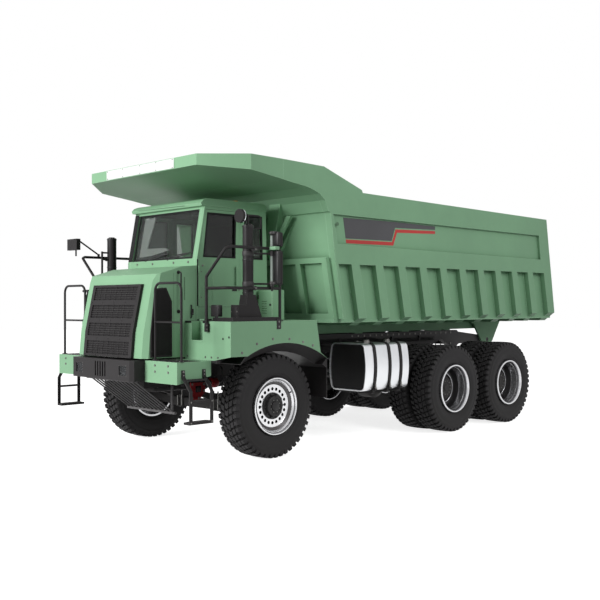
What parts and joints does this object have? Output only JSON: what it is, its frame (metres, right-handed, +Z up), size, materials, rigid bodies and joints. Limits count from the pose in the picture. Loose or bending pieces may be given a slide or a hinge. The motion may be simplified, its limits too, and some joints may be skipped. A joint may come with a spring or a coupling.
{
  "type": "mining dump truck",
  "caption": "Rigid mining dump truck with a ribbed rock body, a canopy over the cab, hoist rams, steering and opening cab doors.",
  "frame": {"origin": "on the ground, halfway along and across the whole truck", "axes": "+X to the truck's left, +Y to its rear, +Z up"},
  "size_m": [4.02, 9.328, 4.258],
  "materials": {
    "green_paint": "satin pale green paint",
    "dark_paint": "satin near-black paint",
    "frame_grey": "satin dark grey paint",
    "cast_metal": "painted castings",
    "tyre_rubber": "matt rubber",
    "rim_silver": "bright silver",
    "polished_rod": "polished",
    "window_glass": "tinted",
    "lamp_glass": "clear lens",
    "seat_fabric": "woven",
    "dash_plastic": "matt"
  },
  "bodies": {
    "chassis": {"chassis_frame": "frame_grey", "front_axle": "cast_metal", "rear_axles": "cast_metal", "front_springs": "frame_grey", "rear_suspension": "frame_grey", "engine_block": "cast_metal", "driveline": "cast_metal", "bumper_ends": "green_paint", "bumper_centre": "green_paint", "headlamps": "lamp_glass", "underguard": "dark_paint", "hood": "green_paint", "grille": "dark_paint", "cab_side_left": "green_paint", "cab_side_right": "green_paint", "cab_floor": "green_paint", "cab_front": "green_paint", "cab_rear": "green_paint", "cab_roof": "green_paint", "cab_glass": "window_glass", "seats": "seat_fabric", "dashboard": "dash_plastic", "deck_left": "green_paint", "deck_right": "green_paint", "wheel_arches": "dark_paint", "handrails": "dark_paint", "ladders": "dark_paint", "mirror_left": "dark_paint", "mirror_right": "dark_paint", "fuel_tank": "dark_paint", "hydraulic_tank": "dark_paint"},
    "knuckle_left": {"knuckle_left": "cast_metal"},
    "knuckle_right": {"knuckle_right": "cast_metal"},
    "tie_rod": {"tie_rod": "cast_metal"},
    "front_wheel_left": {"front_tyre_left": "tyre_rubber", "front_rim_left": "rim_silver"},
    "front_wheel_right": {"front_tyre_right": "tyre_rubber", "front_rim_right": "rim_silver"},
    "mid_wheels_left": {"mid_tyres_left": "tyre_rubber", "mid_rim_left": "rim_silver"},
    "mid_wheels_right": {"mid_tyres_right": "tyre_rubber", "mid_rim_right": "rim_silver"},
    "rear_wheels_left": {"rear_tyres_left": "tyre_rubber", "rear_rim_left": "rim_silver"},
    "rear_wheels_right": {"rear_tyres_right": "tyre_rubber", "rear_rim_right": "rim_silver"},
    "dump_body": {"body_floor": "green_paint", "body_side_left": "green_paint", "body_side_right": "green_paint", "body_front": "green_paint", "canopy": "green_paint"},
    "hoist_barrels": {"hoist_barrels": "frame_grey"},
    "hoist_rods": {"hoist_rods": "polished_rod"},
    "door_left": {"door_left": "green_paint", "door_glass_left": "window_glass"},
    "door_right": {"door_right": "green_paint", "door_glass_right": "window_glass"}
  },
  "joints": [
    {"name": "steer_left", "type": "hinge", "parent": "chassis", "child": "knuckle_left", "pos_m": [1.347, -2.831, 0.7465], "axis": [0, 0, 1], "range_deg": [-32, 32]},
    {"name": "steer_right", "type": "hinge", "parent": "chassis", "child": "knuckle_right", "pos_m": [-1.347, -2.831, 0.7465], "axis": [0, 0, 1], "range_deg": [-32, 32]},
    {"name": "tie_rod_pin", "type": "hinge", "parent": "knuckle_left", "child": "tie_rod", "pos_m": [1.347, -2.601, 0.595], "axis": [0, 0, 1], "range_deg": [-32, 32]},
    {"name": "front_roll_left", "type": "hinge", "parent": "knuckle_left", "child": "front_wheel_left", "pos_m": [1.467, -2.831, 0.7465], "axis": [1, 0, 0], "continuous": true},
    {"name": "mid_roll_left", "type": "hinge", "parent": "chassis", "child": "mid_wheels_left", "pos_m": [1.483, 1.144, 0.7465], "axis": [1, 0, 0], "continuous": true},
    {"name": "rear_roll_left", "type": "hinge", "parent": "chassis", "child": "rear_wheels_left", "pos_m": [1.483, 2.851, 0.7465], "axis": [1, 0, 0], "continuous": true},
    {"name": "front_roll_right", "type": "hinge", "parent": "knuckle_right", "child": "front_wheel_right", "pos_m": [-1.467, -2.831, 0.7465], "axis": [1, 0, 0], "continuous": true},
    {"name": "mid_roll_right", "type": "hinge", "parent": "chassis", "child": "mid_wheels_right", "pos_m": [-1.483, 1.144, 0.7465], "axis": [1, 0, 0], "continuous": true},
    {"name": "rear_roll_right", "type": "hinge", "parent": "chassis", "child": "rear_wheels_right", "pos_m": [-1.483, 2.851, 0.7465], "axis": [1, 0, 0], "continuous": true},
    {"name": "dump", "type": "hinge", "parent": "chassis", "child": "dump_body", "pos_m": [0, 4.049, 1.475], "axis": [-1, 0, 0], "range_deg": [0, 45]},
    {"name": "hoist_swing", "type": "hinge", "parent": "chassis", "child": "hoist_barrels", "pos_m": [0, 0.369, 1], "axis": [1, 0, 0], "range_deg": [0, 15.81]},
    {"name": "hoist_stroke", "type": "slide", "parent": "hoist_barrels", "child": "hoist_rods", "axis": [0, 0.9089, 0.417], "range_m": [0, 1.3902]},
    {"name": "door_left", "type": "hinge", "parent": "chassis", "child": "door_left", "pos_m": [0.882, -3.587, 2.7], "axis": [0, 0, -1], "range_deg": [0, 60]},
    {"name": "door_right", "type": "hinge", "parent": "chassis", "child": "door_right", "pos_m": [-0.882, -3.587, 2.7], "axis": [0, 0, 1], "range_deg": [0, 60]}
  ],
  "couplings": [
    {"joint": "steer_right", "follows": "steer_left", "ratio": 1},
    {"joint": "tie_rod_pin", "follows": "steer_left", "ratio": -1},
    {"joint": "hoist_swing", "follows": "dump", "ratio": 0.34019},
    {"joint": "hoist_stroke", "follows": "dump", "m_per_rad": 1.7637}
  ]
}
